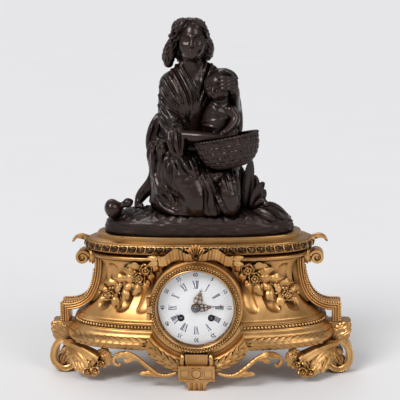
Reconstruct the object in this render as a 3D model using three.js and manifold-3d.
// Mantel clock: an oval gilt case on scroll feet, a round movement in a drum, and a bronze group on top.
// Millimetres, +Z up. The dial faces -Y and the origin lies on the floor under the middle of the case.
import * as THREE from "three";
import { mergeVertices } from "three/addons/utils/BufferGeometryUtils.js";
import Module from "manifold-3d";

const wasm = await Module();
wasm.setup();

// Clearances
const SEAT = 0.3;
const RUNNING = 0.4;
const BORE_GAP = 0.5;

// Oval plan of the case: half depth grows with half width
const PLAN_POWER = 2.6;
const PLAN_STEPS = 24;
const DEPTH_SLOPE = 0.65;
const WAIST_HALF_WIDTH = 119;
const WAIST_HALF_DEPTH = 46;
const CASTING_WALL = 5;

// Plinth
const PLINTH_BOTTOM_Z = 48;
const LAUREL_PROJECTION = 45;
const LAUREL_HEIGHT = 13;
const LAUREL_SWELL = 4.5;
const OGEE_HEIGHT = 8.5;
const BEAD_PROJECTION = 36.5;
const BEAD_SHELF_HEIGHT = 6.5;
const BEAD_SWELL = 2.2;
const COVE_HEIGHT = 5;

// Fluted waist
const WAIST_HEIGHT = 67;
const WAIST_FOOT_PROJECTION = 29;
const WAIST_TOP_PROJECTION = 5;
const WAIST_NARROW_HEIGHT = 47;
const WAIST_CURVE = 2.2;
const WAIST_WALL = 6.5;
const FLUTE_COUNT = 24;
const FLUTE_DEPTH = 2.6;
const FLUTE_SHARE = 0.34;
const FLUTE_END = 5;

// Cornice and the plate that carries the group
const TORUS_PROJECTION = 8;
const TORUS_HEIGHT = 10;
const TORUS_SWELL = 7;
const CORNICE_NECK_HEIGHT = 3;
const GADROON_SEAT_PROJECTION = 18;
const GADROON_HEIGHT = 11;
const GADROON_SWELL = 6.5;
const STEP_HEIGHT = 4;
const PLATE_PROJECTION = 7;
const PLATE_HEIGHT = 4.5;

// Drum, bezel and rear door, all round one axis along Y
const DIAL_AXIS_Z = 100.5;
const DRUM_RADIUS = 56;
const DRUM_WALL = 4;
const DRUM_FRONT_Y = -78;
const DRUM_REAR_Y = 75.4;
const DRUM_STEPS = 24;
const RING_STEPS = 24;
const HINGE_LUG = 1.5;
const KNOB_RADIUS = 3;
const BEZEL_MARGIN = 2.5;
const BEZEL_WIDTH = 9.3;
const BEZEL_DEPTH = 9;
const BEZEL_REBATE = 3;
const GLASS_THICKNESS = 1.6;
const GLASS_RISE = 3;
const DOOR_MARGIN = 6;
const DOOR_THICKNESS = 2;
const DOOR_RIM = 3;
const HINGE_RADIUS = 2.4;
const HINGE_PIN_RADIUS = 1;
const HINGE_KNUCKLE = 9;

// Apron moulding that carries the plinth round the dial, and the middle feet
const APRON_RADIUS = 82;
const APRON_BACK_Y = -62;
const BLOCK_HALF_WIDTH = 22;
const BLOCK_BOTTOM_Z = 12.5;
const BLOCK_TOP_Z = 31;
const BLOCK_FRONT_Y = -86;
const BLOCK_BACK_Y = -70;
const NECK_HALF_WIDTH = 14;
const FOOT_TOP_HALF_WIDTH = 17;
const FOOT_BOTTOM_HALF_WIDTH = 12;
const PATERA_RADIUS = 7.5;
const PATERA_RISE = 2;
const REAR_FOOT_SET_BACK = 1.25;
const REAR_FOOT_THICKNESS = 16;
const REAR_FOOT_SHOULDER = 9.7;

// Ribbon and garlands, as [x, z, radius] along the right-hand one
const RIBBON_HALF_WIDTH = 56;
const RIBBON_Z = 164;
const RIBBON_FAN_RADIUS = 12;
const RIBBON_FAN_LOBES = 5;
const RIBBON_STANDOFF = 8;
const RIBBON_THICKNESS = 4;
const KNOT_HALF_WIDTH = 6;
const GARLAND_ROUTE = [[52, 150, 5], [66, 143, 7], [82, 130, 9], [97, 115, 10], [110, 102, 8], [121, 92, 4]];

// Leaf scrolls under the right half of the apron, as [x, y, z, radius]
const APRON_SCROLL_ROUTE = [
  [24.3, -76, 19.5, 3.2], [45, -76, 15.5, 4], [60, -75, 27, 4], [74, -73, 38.5, 4],
  [88, -71, 43, 4], [99, -70, 37.5, 3.6], [100, -70, 29, 3.6], [93, -70, 27, 3],
];

// Scroll feet and side consoles
const SIDE_HALF_DEPTH = 14;
const SCROLL_STANDOUT = 6.2;
const SCROLL_RADIUS = 23;
const SCROLL_BAND = 4.6;
const SCROLL_TURNS = 1.55;
const SCROLL_SHRINK = 14;
const SCROLL_FLAT = 0.6;
const END_BLOCK_STANDOUT = 23;
const END_BLOCK_BOTTOM_Z = 39.5;
const END_BLOCK_HEIGHT = 27;
const CONSOLE_BAND = 10.5;
const CONSOLE_LEG_STANDOUT = 5.3;
const CONSOLE_SHELF_Z = 86.2;
const VOLUTE_RADIUS = 10;
const VOLUTE_STANDOUT = 26.5;
const VOLUTE_Z = 148;
const VOLUTE_LEAF_Z = 169;

// Leaf at a scroll foot, as [inward, forward, below the plinth, radius]
const FOOT_STEM_ROUTE = [[2, 2, 14, 7], [18, 13, 14, 9], [34, 26, 26, 10], [42, 31, 34, 8]];
const FOOT_LOBE_ROUTE = [[38, 28, 28, 8], [52, 34, 20, 8], [60, 35, 10, 5]];

// Dial, hands and motion work
const DIAL_OVERLAP = 1.4;
const DIAL_THICKNESS = 2.4;
const DIAL_SET_BACK = 3;
const DIAL_PLATE_THICKNESS = 2;
const DIAL_PLATE_SIGHT = 36;
const WINDING_X = 18.2;
const WINDING_DROP = 12.7;
const WINDING_HOLE_RADIUS = 3.6;
const MINUTE_HAND_LENGTH = 34.7;
const HOUR_HAND_LENGTH = 25.4;
const HAND_THICKNESS = 0.8;
const MINUTE_HAND_ANGLE = 84.4;
const HOUR_HAND_ANGLE = 17;
const HAND_BOSS = 2;
const HAND_SPACING = 2.2;
const CANNON_RADIUS = 2.1;
const HOUR_PIPE_RADIUS = 3.4;
const CENTRE_TIP_RADIUS = 1.1;
const NUT_RADIUS = 2.8;
const NUT_HEIGHT = 2.2;

// Movement plates and train
const PLATE_RADIUS = 40;
const PLATE_THICKNESS = 2;
const PLATE_SPACING = 38;
const MOTION_SPACE = 4;
const PILLAR_RADIUS = 2.4;
const PILLAR_PLACES = [[-10, -35], [10, -35], [-28, 23], [28, 23]];
const ARBOR_RADIUS = 1.4;
const PIVOT_RADIUS = 0.8;
const WHEEL_TEETH = 18;
const PINION_LEAVES = 6;
const WHEEL_THICKNESS = 1.2;
const PINION_OVERHANG = 1;
const BARREL_MODULE = 1.78;
const INTERMEDIATE_MODULE = 1.12;
const CENTRE_MODULE = 1.04;
const THIRD_MODULE = 0.96;
const STRIKE_MODULE = 1.08;
const MINUTE_MODULE = 0.75;
const MOTION_TEETH = 24;
const CANNON_LEAVES = 8;
const HOUR_LEAVES = 6;
const ESCAPE_TEETH = 20;
const ESCAPE_RADIUS = 7.6;
const ANCHOR_ABOVE_ESCAPE = 12;
const PALLET_WIDTH = 2.4;
const CRUTCH_LENGTH = 34;
const CRUTCH_THICKNESS = 1.4;
const ROD_RADIUS = 0.9;
const COCK_HALF_WIDTH = 5;
const BARREL_RADIUS = 14.4;
const BARREL_LENGTH = 22;
const WINDING_ARBOR_RADIUS = 2;
const PENDULUM_LENGTH = 103;
const PENDULUM_BEHIND_PLATE = 9;
const BOB_RADIUS = 13;
const BOB_THICKNESS = 7;
const SWING_ROOM = 10;
const BELL_RADIUS = 30;
const BELL_DEPTH = 24;
const BELL_WALL = 1.8;
const BELL_DROP = 8;
const BELL_BEHIND_PLATE = 17;
const BELL_STAND_PLACE = [-31, 18];
const BELL_STAND_RADIUS = 2;
const HAMMER_PLACE = [27, -24];
const HAMMER_HEAD_RADIUS = 3.4;
const HAMMER_REST = 0.8;
const HAMMER_BEARING = 10;

// Bronze group
const TERRACE_INSET = 8;
const TERRACE_HEIGHT = 27;
const BASKET_HALF_LENGTH = 39;
const BASKET_HALF_DEPTH = 21;
const BASKET_DEPTH = 38;
const BASKET_WALL = 3;
const BOLT_RADIUS = 3;
const FIGURE_UNIT = 1;

// Widths, heights and planes that follow
const LAUREL_HALF_WIDTH = WAIST_HALF_WIDTH + LAUREL_PROJECTION;
const BEAD_HALF_WIDTH = WAIST_HALF_WIDTH + BEAD_PROJECTION;
const TORUS_HALF_WIDTH = WAIST_HALF_WIDTH + TORUS_PROJECTION;
const GADROON_SEAT_HALF_WIDTH = WAIST_HALF_WIDTH + GADROON_SEAT_PROJECTION;
const PLATE_HALF_WIDTH = WAIST_HALF_WIDTH + PLATE_PROJECTION;
const TERRACE_HALF_WIDTH = PLATE_HALF_WIDTH - TERRACE_INSET;
const SCROLL_X = LAUREL_HALF_WIDTH + SCROLL_STANDOUT;
const CONSOLE_LEG_X = LAUREL_HALF_WIDTH + CONSOLE_LEG_STANDOUT;
const VOLUTE_X = WAIST_HALF_WIDTH + VOLUTE_STANDOUT;
const BEZEL_RADIUS = DRUM_RADIUS - BEZEL_MARGIN;
const BEZEL_SIGHT_RADIUS = BEZEL_RADIUS - BEZEL_WIDTH;
const DIAL_RADIUS = BEZEL_SIGHT_RADIUS + DIAL_OVERLAP;
const DOOR_RADIUS = DRUM_RADIUS - DOOR_MARGIN;
const LAUREL_TOP_Z = PLINTH_BOTTOM_Z + LAUREL_HEIGHT;
const OGEE_TOP_Z = LAUREL_TOP_Z + OGEE_HEIGHT;
const SHELF_TOP_Z = OGEE_TOP_Z + BEAD_SHELF_HEIGHT;
const PLINTH_TOP_Z = SHELF_TOP_Z + COVE_HEIGHT;
const WAIST_TOP_Z = PLINTH_TOP_Z + WAIST_HEIGHT;
const NARROW_Z = PLINTH_TOP_Z + WAIST_NARROW_HEIGHT;
const TORUS_TOP_Z = WAIST_TOP_Z + TORUS_HEIGHT;
const GADROON_BOTTOM_Z = TORUS_TOP_Z + CORNICE_NECK_HEIGHT;
const GADROON_TOP_Z = GADROON_BOTTOM_Z + GADROON_HEIGHT;
const CORNICE_TOP_Z = GADROON_TOP_Z + STEP_HEIGHT + PLATE_HEIGHT;
const DIAL_FRONT_Y = DRUM_FRONT_Y + DIAL_SET_BACK;
const DIAL_BACK_Y = DIAL_FRONT_Y + DIAL_THICKNESS;
const DIAL_PLATE_BACK_Y = DIAL_BACK_Y + SEAT + DIAL_PLATE_THICKNESS;
const FRONT_PLATE_Y = DIAL_PLATE_BACK_Y + MOTION_SPACE;
const TRAIN_FRONT_Y = FRONT_PLATE_Y + PLATE_THICKNESS;
const TRAIN_REAR_Y = TRAIN_FRONT_Y + PLATE_SPACING;
const BACK_PLATE_REAR_Y = TRAIN_REAR_Y + PLATE_THICKNESS;
const PENDULUM_Y = BACK_PLATE_REAR_Y + PENDULUM_BEHIND_PLATE;
const ARBOR_BORE = ARBOR_RADIUS + BORE_GAP;

const degrees = value => value * Math.PI / 180;
const vector = (x, y, z) => new THREE.Vector3(x, y, z);

// Solid from bare positions and triangles, turned so that its faces point out
function solidFrom(positions, triangles) {
  const make = order => new wasm.Manifold(new wasm.Mesh({
    numProp: 3,
    vertProperties: new Float32Array(positions),
    triVerts: new Uint32Array(order),
  }));
  const made = make(triangles);
  return made.volume() < 0 ? make(triangles.toReversed()) : made;
}

function solidOf(geometry) {
  const bare = geometry.clone();
  bare.deleteAttribute("normal");
  bare.deleteAttribute("uv");
  const merged = mergeVertices(bare, 1e-4);
  return solidFrom([...merged.attributes.position.array], [...merged.index.array]);
}

const join = (first, ...rest) => rest.reduce((sum, solid) => sum.add(solid), first);
const cut = (first, ...rest) => rest.reduce((left, solid) => left.subtract(solid), first);

// Closed solid over stacked rings of points; the ends are capped, or meet where the stack is a loop
function loft(rings, { loop = false, tips = null } = {}) {
  const size = rings[0].length;
  const points = rings.flat();
  const triangles = [];
  const last = loop ? rings.length : rings.length - 1;
  for (let row = 0; row < last; row++) {
    const above = (row + 1) % rings.length;
    for (let column = 0; column < size; column++) {
      const beside = (column + 1) % size;
      const corner = row * size + beside;
      const opposite = above * size + column;
      triangles.push(row * size + column, corner, opposite, corner, above * size + beside, opposite);
    }
  }
  const cap = (ring, start, tip, flip) => {
    points.push(tip ?? ring.reduce((sum, point) => sum.add(point), vector(0, 0, 0)).divideScalar(size));
    for (let column = 0; column < size; column++) {
      const edge = [start + column, start + (column + 1) % size];
      triangles.push(points.length - 1, ...(flip ? edge.reverse() : edge));
    }
  };
  if (!loop) {
    cap(rings[0], 0, tips?.[0], true);
    cap(rings.at(-1), (rings.length - 1) * size, tips?.[1], false);
  }
  return solidFrom(points.flatMap(point => point.toArray()), triangles);
}

// Oval plan
const depthAt = halfWidth => WAIST_HALF_DEPTH + DEPTH_SLOPE * (halfWidth - WAIST_HALF_WIDTH);
const bent = value => Math.sign(value) * Math.abs(value) ** (2 / PLAN_POWER);

function planPoint(halfWidth, angle, z) {
  return vector(halfWidth * bent(Math.cos(angle)), depthAt(halfWidth) * bent(Math.sin(angle)), z);
}

const planAngles = Array.from({ length: PLAN_STEPS }, (_, step) => 2 * Math.PI * step / PLAN_STEPS);
const planRing = (halfWidth, z) => planAngles.map(angle => planPoint(halfWidth, angle, z));

// Angles of the plan at even distances along its edge
function evenAngles(halfWidth, shares) {
  const samples = 720;
  const lengths = [0];
  for (let step = 1; step <= samples; step++) {
    const before = planPoint(halfWidth, 2 * Math.PI * (step - 1) / samples, 0);
    const here = planPoint(halfWidth, 2 * Math.PI * step / samples, 0);
    lengths.push(lengths.at(-1) + here.distanceTo(before));
  }
  return shares.map(share => {
    const target = share * lengths.at(-1);
    const step = Math.max(1, lengths.findIndex(length => length >= target));
    const part = (target - lengths[step - 1]) / (lengths[step] - lengths[step - 1]);
    return 2 * Math.PI * (step - 1 + part) / samples;
  });
}

// Profile stretches of [half width, height]
function halfRound(halfWidth, low, high, swell, steps = 3) {
  return Array.from({ length: steps + 1 }, (_, step) => {
    const turn = Math.PI * step / steps;
    return [halfWidth + swell * Math.sin(turn), (low + high - (high - low) * Math.cos(turn)) / 2];
  });
}

function ogee([fromWidth, fromZ], [toWidth, toZ], steps = 2) {
  return Array.from({ length: steps + 1 }, (_, step) => {
    const part = step / steps;
    const ease = part * part * (3 - 2 * part);
    return [fromWidth + (toWidth - fromWidth) * ease, fromZ + (toZ - fromZ) * part];
  });
}

// Round and flat pieces along the dial axis
function rodY(radius, fromY, toY, x = 0, z = 0, sides = 8) {
  const rod = new THREE.CylinderGeometry(radius, radius, toY - fromY, sides);
  return solidOf(rod.translate(x, (fromY + toY) / 2, z));
}

function uprightRod(radius, x, y, middle, length, steps = 8) {
  const rod = new THREE.CylinderGeometry(radius, radius, length, steps).rotateX(Math.PI / 2);
  return solidOf(rod.translate(x, y, middle));
}

function outlineY(points, fromY, toY, holes = []) {
  const shape = new THREE.Shape(points.map(([x, z]) => new THREE.Vector2(x, z)));
  shape.holes = holes.map(([x, z, radius, sides]) => new THREE.Path(
    Array.from({ length: sides }, (_, step) => {
      const turn = 2 * Math.PI * step / sides;
      return new THREE.Vector2(x + radius * Math.cos(turn), z + radius * Math.sin(turn));
    })));
  const plate = new THREE.ExtrudeGeometry(shape, { depth: toY - fromY, bevelEnabled: false });
  return solidOf(plate.rotateX(Math.PI / 2).translate(0, toY, 0));
}

const circle = (radius, sides) => Array.from({ length: sides }, (_, step) => {
  const turn = 2 * Math.PI * step / sides;
  return [radius * Math.cos(turn), radius * Math.sin(turn)];
});

function lathe(profile, sides) {
  const points = profile.map(([radius, y]) => new THREE.Vector2(radius, y));
  return solidOf(new THREE.LatheGeometry(points, sides));
}

function box(fromX, toX, fromY, toY, fromZ, toZ) {
  const block = new THREE.BoxGeometry(toX - fromX, toY - fromY, toZ - fromZ);
  return solidOf(block.translate((fromX + toX) / 2, (fromY + toY) / 2, (fromZ + toZ) / 2));
}

// Band of even width along a flat curve in X and Z, as an outline for outlineY
function bandOutline(curve, steps, width) {
  const left = [];
  const right = [];
  for (let step = 0; step <= steps; step++) {
    const point = curve.getPoint(step / steps);
    const tangent = curve.getTangent(step / steps);
    left.push([point.x - tangent.y * width / 2, point.y + tangent.x * width / 2]);
    right.unshift([point.x + tangent.y * width / 2, point.y - tangent.x * width / 2]);
  }
  return [...left, ...right];
}

// Modelled forms: a limb through [x, y, z, radius], a stack of level sections and a ball
function limb(points, { sides = 6, grow = 0, flat = 1 } = {}) {
  const centres = points.map(([x, y, z]) => vector(x, y, z));
  const tangentAt = index => {
    const before = centres[Math.max(index - 1, 0)];
    const after = centres[Math.min(index + 1, centres.length - 1)];
    return after.clone().sub(before).normalize();
  };
  const rings = centres.map((centre, index) => {
    const tangent = tangentAt(index);
    const side = vector(0, 1, 0).cross(tangent).normalize();
    const front = tangent.clone().cross(side);
    const radius = points[index][3] + grow;
    return Array.from({ length: sides }, (_, step) => {
      const turn = 2 * Math.PI * step / sides;
      const across = side.clone().multiplyScalar(radius * Math.cos(turn));
      return centre.clone().add(across).addScaledVector(front, radius * flat * Math.sin(turn));
    });
  });
  const reach = index => (points[index][3] + grow) * 0.6;
  const last = points.length - 1;
  const start = centres[0].clone().addScaledVector(tangentAt(0), -reach(0));
  const end = centres[last].clone().addScaledVector(tangentAt(last), reach(last));
  return loft(rings, { tips: [start, end] });
}

function ball([x, y, z], [halfWidth, halfDepth, halfHeight], { grow = 0 } = {}) {
  const sphere = new THREE.SphereGeometry(1, 8, 5).rotateX(Math.PI / 2);
  sphere.scale(halfWidth + grow, halfDepth + grow, halfHeight + grow);
  return solidOf(sphere.translate(x, y, z));
}

// Materials
const finish = (color, roughness, metalness) =>
  new THREE.MeshStandardMaterial({ color, roughness, metalness });
const gilt = () => finish(0xc8963f, 0.34, 1);
const bronze = () => finish(0x2c1f1b, 0.42, 0.8);
const brass = () => finish(0xb58d45, 0.3, 1);
const steel = () => finish(0x6d7076, 0.28, 1);
const enamel = () => finish(0xe9edf2, 0.16, 0);
const glass = () => finish(0xdfe8ea, 0.04, 0);

// Assembly: parts round the dial axis sit in a group raised to it
const clock = new THREE.Group();
const onAxis = new THREE.Group();
onAxis.position.z = DIAL_AXIS_Z;
clock.add(onAxis);

function place(name, solid, material, parent = clock) {
  const { vertProperties, triVerts } = solid.getMesh();
  const geometry = new THREE.BufferGeometry();
  geometry.setAttribute("position", new THREE.BufferAttribute(vertProperties, 3));
  geometry.setIndex(new THREE.BufferAttribute(triVerts, 1));
  geometry.computeVertexNormals();
  const mesh = new THREE.Mesh(geometry, material);
  mesh.name = name;
  parent.add(mesh);
  return mesh;
}

const sides = [["left", -1], ["right", 1]];
const FAR = 400;
const drumSpace = rodY(DRUM_RADIUS + SEAT, -FAR, FAR, 0, DIAL_AXIS_Z, DRUM_STEPS);

// Plinth outline from its lower edge to the shelf that carries the beads
const plinthFace = [
  ...halfRound(LAUREL_HALF_WIDTH, PLINTH_BOTTOM_Z, LAUREL_TOP_Z, LAUREL_SWELL),
  ...ogee([LAUREL_HALF_WIDTH, LAUREL_TOP_Z], [BEAD_HALF_WIDTH, OGEE_TOP_Z]).slice(1),
  ...halfRound(BEAD_HALF_WIDTH, OGEE_TOP_Z, SHELF_TOP_Z, BEAD_SWELL).slice(1),
];

// The plinth is mitred where its mouldings turn down round the dial
function mitreSpace(inset) {
  const drumReach = DIAL_AXIS_Z - SHELF_TOP_Z;
  const apronReach = DIAL_AXIS_Z - PLINTH_BOTTOM_Z;
  const inner = Math.sqrt((DRUM_RADIUS + SEAT) ** 2 - drumReach ** 2);
  const outer = Math.sqrt(APRON_RADIUS ** 2 - apronReach ** 2);
  const lean = (outer - inner) / (SHELF_TOP_Z - PLINTH_BOTTOM_Z);
  const xAt = z => inner + lean * (SHELF_TOP_Z - z) - inset;
  const high = PLINTH_TOP_Z;
  const low = DIAL_AXIS_Z - APRON_RADIUS - LAUREL_SWELL;
  const right = [[xAt(high), high], [xAt(low), low]];
  const left = right.map(([x, z]) => [-x, z]).toReversed();
  return outlineY([...right, ...left], -FAR, 0);
}

function plinth() {
  const inside = [
    [WAIST_HALF_WIDTH + WAIST_FOOT_PROJECTION - CASTING_WALL, PLINTH_TOP_Z],
    [BEAD_HALF_WIDTH - CASTING_WALL, OGEE_TOP_Z],
    [LAUREL_HALF_WIDTH - CASTING_WALL, LAUREL_TOP_Z],
    [LAUREL_HALF_WIDTH - CASTING_WALL, PLINTH_BOTTOM_Z],
  ];
  const profile = [...plinthFace, [WAIST_HALF_WIDTH + WAIST_FOOT_PROJECTION, PLINTH_TOP_Z], ...inside];
  const ring = loft(profile.map(([width, z]) => planRing(width, z)), { loop: true });
  return join(cut(ring, drumSpace, mitreSpace(0)), rearFoot());
}

// Middle foot: block with a patera between the apron's two arms, on a tapered foot
const neckTopZ = DIAL_AXIS_Z - DRUM_RADIUS - SEAT;

function centreFoot(grow = 0) {
  const right = [
    [FOOT_BOTTOM_HALF_WIDTH + grow, -grow],
    [FOOT_TOP_HALF_WIDTH + grow, BLOCK_BOTTOM_Z - grow],
    [BLOCK_HALF_WIDTH + grow, BLOCK_BOTTOM_Z - grow],
    [BLOCK_HALF_WIDTH + grow, BLOCK_TOP_Z + grow],
    [NECK_HALF_WIDTH + grow, BLOCK_TOP_Z + grow],
    [NECK_HALF_WIDTH + grow, neckTopZ + grow],
  ];
  const left = right.map(([x, z]) => [-x, z]).toReversed();
  return outlineY([...right, ...left], BLOCK_FRONT_Y - grow, BLOCK_BACK_Y + grow);
}

function decoratedCentreFoot() {
  const middle = (BLOCK_BOTTOM_Z + BLOCK_TOP_Z) / 2;
  const patera = rodY(PATERA_RADIUS, BLOCK_FRONT_Y - PATERA_RISE, BLOCK_BACK_Y, 0, middle, 16);
  const fluteRadius = FOOT_BOTTOM_HALF_WIDTH / 6;
  const fluteLength = BLOCK_BOTTOM_Z - 2 * fluteRadius;
  const flutes = [-0.5, 0, 0.5].map(share => uprightRod(
    fluteRadius, share * FOOT_BOTTOM_HALF_WIDTH, BLOCK_FRONT_Y, BLOCK_BOTTOM_Z / 2, fluteLength, 6));
  return cut(join(centreFoot(), patera), ...flutes);
}

function apron() {
  const innerRadius = DRUM_RADIUS + SEAT;
  const drop = z => (SHELF_TOP_Z - z) / (SHELF_TOP_Z - PLINTH_BOTTOM_Z);
  const face = plinthFace.map(([width, z]) => [
    innerRadius + drop(z) * (APRON_RADIUS - innerRadius),
    -depthAt(width),
  ]);
  const profile = [...face, [innerRadius, APRON_BACK_Y], [APRON_RADIUS, APRON_BACK_Y]];
  const steps = 22;
  const reach = degrees(160);
  const rings = Array.from({ length: steps + 1 }, (_, step) => {
    const turn = -Math.PI / 2 + reach * (step / steps - 0.5);
    return profile.map(([radius, y]) => vector(
      radius * Math.cos(turn), y, DIAL_AXIS_Z + radius * Math.sin(turn)));
  });
  return cut(loft(rings).intersect(mitreSpace(SEAT)), centreFoot(SEAT));
}

function rearFoot() {
  const drumHalf = Math.sqrt((DRUM_RADIUS + SEAT) ** 2 - (DIAL_AXIS_Z - PLINTH_BOTTOM_Z) ** 2);
  const right = [
    [FOOT_BOTTOM_HALF_WIDTH, 0],
    [FOOT_TOP_HALF_WIDTH, BLOCK_BOTTOM_Z],
    [drumHalf + REAR_FOOT_SHOULDER, PLINTH_BOTTOM_Z],
  ];
  const left = right.map(([x, z]) => [-x, z]).toReversed();
  const back = depthAt(LAUREL_HALF_WIDTH) - REAR_FOOT_SET_BACK;
  return cut(outlineY([...right, ...left], back - REAR_FOOT_THICKNESS, back), drumSpace);
}

// Waist: concave shell with round-ended flutes
function waistWidth(z) {
  const low = z < NARROW_Z;
  const part = low ? (NARROW_Z - z) / WAIST_NARROW_HEIGHT : (z - NARROW_Z) / (WAIST_TOP_Z - NARROW_Z);
  return WAIST_HALF_WIDTH + (low ? WAIST_FOOT_PROJECTION : WAIST_TOP_PROJECTION) * part ** WAIST_CURVE;
}

const waistShares = Array.from({ length: FLUTE_COUNT }, (_, flute) => {
  const half = FLUTE_SHARE / 2;
  return [0.5 - half, 0.5, 0.5 + half].map(part => (flute + part) / FLUTE_COUNT);
}).flat();
const waistAngles = evenAngles(WAIST_HALF_WIDTH, waistShares);

function waistRing(z, grow, flute = 0) {
  return waistAngles.map((angle, index) =>
    planPoint(waistWidth(z) + grow - (index % 3 === 1 ? flute : 0), angle, z));
}

function waistSkin(grow, flute) {
  const fluted = [FLUTE_END, 0.42 * WAIST_HEIGHT, 0.7 * WAIST_HEIGHT, WAIST_HEIGHT - FLUTE_END];
  return [
    waistRing(PLINTH_TOP_Z, grow),
    ...fluted.map(rise => waistRing(PLINTH_TOP_Z + rise, grow, flute)),
    waistRing(WAIST_TOP_Z, grow),
  ];
}

const waistBody = grow => loft(waistSkin(grow, 0));

// The drum parts the waist into a left and a right casting
function waist(side) {
  const inside = [1, 0.56, 0.24, 0].map(part => waistRing(PLINTH_TOP_Z + part * WAIST_HEIGHT, -WAIST_WALL));
  const shell = loft([...waistSkin(0, FLUTE_DEPTH), ...inside], { loop: true });
  const reach = [0, side * FAR].toSorted((a, b) => a - b);
  return cut(shell, drumSpace).intersect(box(...reach, -FAR, FAR, -FAR, FAR));
}

// Cornice: lid with a torus, a seat for the gadroons and the plate for the group
function cornice() {
  const stepTopZ = GADROON_TOP_Z + STEP_HEIGHT;
  const profile = [
    ...halfRound(TORUS_HALF_WIDTH, WAIST_TOP_Z, TORUS_TOP_Z, TORUS_SWELL),
    [GADROON_SEAT_HALF_WIDTH, GADROON_BOTTOM_Z],
    [GADROON_SEAT_HALF_WIDTH, GADROON_TOP_Z],
    ...ogee([GADROON_SEAT_HALF_WIDTH, GADROON_TOP_Z], [PLATE_HALF_WIDTH, stepTopZ]).slice(1),
    [PLATE_HALF_WIDTH, CORNICE_TOP_Z],
  ];
  const inside = [
    [TORUS_HALF_WIDTH - CASTING_WALL, CORNICE_TOP_Z - CASTING_WALL],
    [TORUS_HALF_WIDTH - CASTING_WALL, WAIST_TOP_Z],
  ];
  const lid = loft([...inside, ...profile].map(([width, z]) => planRing(width, z)));
  const boltHole = uprightRod(BOLT_RADIUS + SEAT, 0, 0, CORNICE_TOP_Z, 6 * CASTING_WALL);
  return cut(lid, drumSpace, boltHole);
}

function gadroonRing() {
  const inner = GADROON_SEAT_HALF_WIDTH + SEAT;
  const profile = halfRound(inner, GADROON_BOTTOM_Z, GADROON_TOP_Z, GADROON_SWELL, 4);
  return loft(profile.map(([width, z]) => planRing(width, z)), { loop: true });
}

// Scroll feet: a spiral band under a block that backs the console
const scrollZ = SCROLL_RADIUS - SCROLL_SHRINK / (2 * SCROLL_TURNS) - SCROLL_FLAT;

function scrollFoot(side) {
  const steps = 22;
  const spiral = inset => Array.from({ length: steps + 1 }, (_, step) => {
    const turned = step / steps * SCROLL_TURNS;
    const angle = Math.PI / 2 - 2 * Math.PI * turned;
    const radius = SCROLL_RADIUS - SCROLL_SHRINK * turned / SCROLL_TURNS - inset;
    return [side * (SCROLL_X + radius * Math.cos(angle)), scrollZ + radius * Math.sin(angle)];
  });
  const bandEdges = [...spiral(0), ...spiral(SCROLL_BAND).toReversed()];
  const band = outlineY(bandEdges, -SIDE_HALF_DEPTH, SIDE_HALF_DEPTH);
  const inner = side * (LAUREL_HALF_WIDTH - 2 * CASTING_WALL);
  const outer = side * (LAUREL_HALF_WIDTH + END_BLOCK_STANDOUT);
  const top = END_BLOCK_BOTTOM_Z + END_BLOCK_HEIGHT;
  const round = END_BLOCK_HEIGHT / 5;
  const block = outlineY([
    [inner, END_BLOCK_BOTTOM_Z],
    [outer - side * round, END_BLOCK_BOTTOM_Z],
    [outer, END_BLOCK_BOTTOM_Z + round],
    [outer, top - round],
    [outer - side * round, top],
    [inner, top],
  ], -SIDE_HALF_DEPTH, SIDE_HALF_DEPTH);
  const seat = [PLINTH_BOTTOM_Z - SEAT, LAUREL_TOP_Z + OGEE_HEIGHT];
  const plinthSpace = loft(seat.map(z => planRing(LAUREL_HALF_WIDTH + LAUREL_SWELL + SEAT, z)));
  const floor = box(-FAR, FAR, -FAR, FAR, -FAR, 0);
  return cut(join(band, block), plinthSpace, floor);
}

// Leaf and flower that grow inward from a scroll foot, under the plinth
function footLeaf(side) {
  const front = -SIDE_HALF_DEPTH - SEAT;
  const along = route => limb(route.map(([inward, forward, below, radius]) => [
    side * (SCROLL_X - inward),
    front - forward,
    PLINTH_BOTTOM_Z - below,
    radius,
  ]), { sides: 7 });
  const footSpace = box(-FAR, FAR, front, FAR, -FAR, FAR);
  return cut(join(along(FOOT_STEM_ROUTE), along(FOOT_LOBE_ROUTE)), footSpace);
}

// Side consoles: a reeded strap from a volute under the cornice to the block over the foot
const corniceSpace = join(
  loft([WAIST_TOP_Z - SEAT, GADROON_BOTTOM_Z].map(z => planRing(TORUS_HALF_WIDTH + TORUS_SWELL + SEAT, z))),
  loft([GADROON_BOTTOM_Z - SEAT, GADROON_TOP_Z + SEAT].map(z =>
    planRing(GADROON_SEAT_HALF_WIDTH + GADROON_SWELL + 2 * SEAT, z))));

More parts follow.
